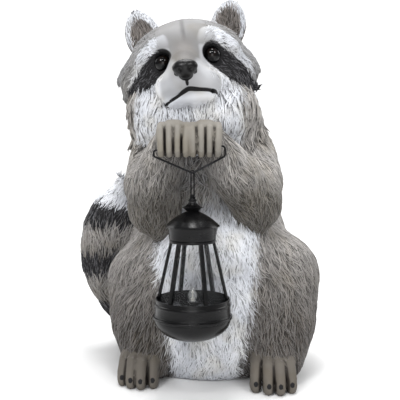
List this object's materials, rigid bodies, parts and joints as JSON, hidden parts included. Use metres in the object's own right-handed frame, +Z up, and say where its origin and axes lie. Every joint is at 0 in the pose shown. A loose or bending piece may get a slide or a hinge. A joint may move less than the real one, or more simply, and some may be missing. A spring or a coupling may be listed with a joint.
{
  "type": "garden statue",
  "caption": "Painted plastic garden statue of a sitting raccoon that holds up a small hanging lantern in both forepaws.",
  "frame": {"origin": "on the ground, under the middle of the whole statue's box, lantern and tail included", "axes": "+Z up, the statue looks towards -Y, its tail lies on the -X side"},
  "size_m": [0.26, 0.2616, 0.3792],
  "materials": {
    "painted_resin": "cast fur, hand-painted grey, white and black with a dark wash",
    "black_plastic": "satin black moulding",
    "clear_plastic": "clear and glossy",
    "black_wire": "blackened steel wire"
  },
  "bodies": {
    "root": {"raccoon": "painted_resin", "bail_wire": "black_wire", "hanging_link": "black_wire", "lantern_cap": "black_plastic", "lantern_cage": "black_plastic", "lantern_glass": "clear_plastic", "lantern_bulb": "clear_plastic", "lantern_band": "black_plastic", "lantern_bowl": "black_plastic"}
  },
  "joints": []
}
